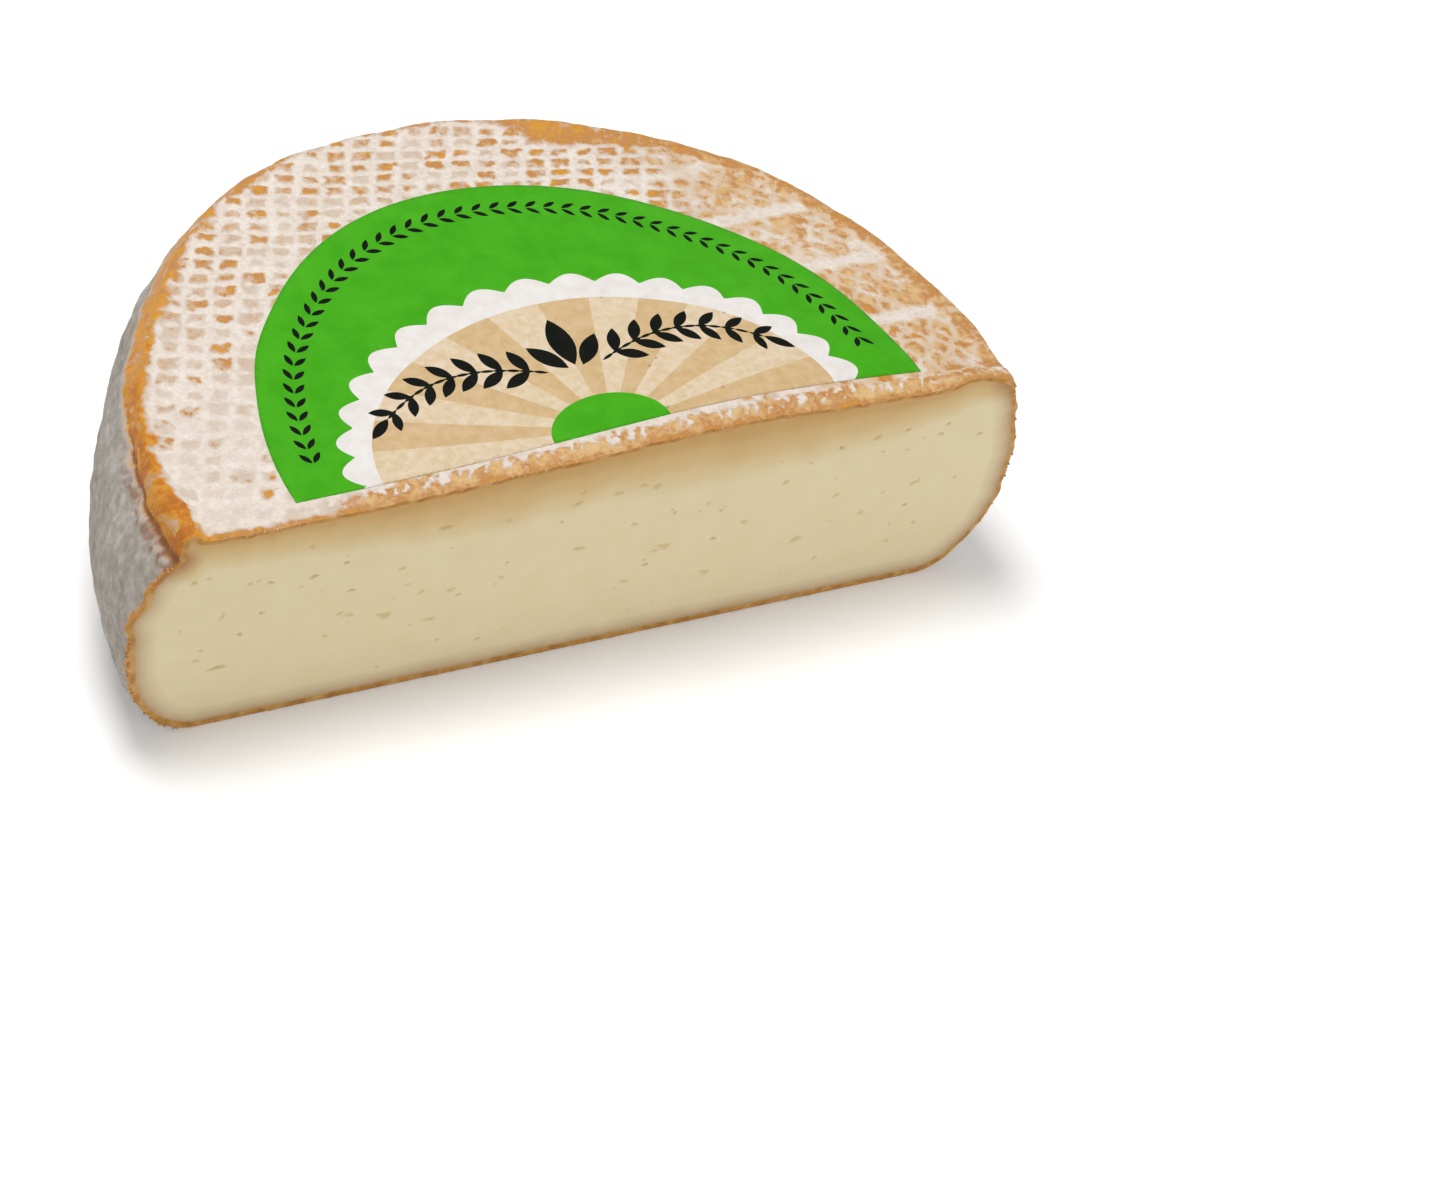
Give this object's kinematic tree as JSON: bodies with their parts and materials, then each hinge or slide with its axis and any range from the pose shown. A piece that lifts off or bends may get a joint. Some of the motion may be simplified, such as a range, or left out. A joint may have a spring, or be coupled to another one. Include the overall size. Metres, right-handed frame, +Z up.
{
  "type": "half cheese wheel",
  "caption": "Half wheel of semi-soft washed-rind cheese with a cut face showing small eyes, a cloth-marked crust and a half-round paper label on its top.",
  "frame": {"origin": "middle of the footprint, on the flat base", "axes": "+X along the cut, to the right when facing the cut face; the cut face looks to -Y; +Z up"},
  "size_m": [0.2012, 0.1128, 0.0608],
  "materials": {
    "rind": "matte",
    "paste": "satin",
    "label_paper": "satin"
  },
  "bodies": {
    "root": {"cheese": "rind", "label": "label_paper"}
  },
  "joints": []
}
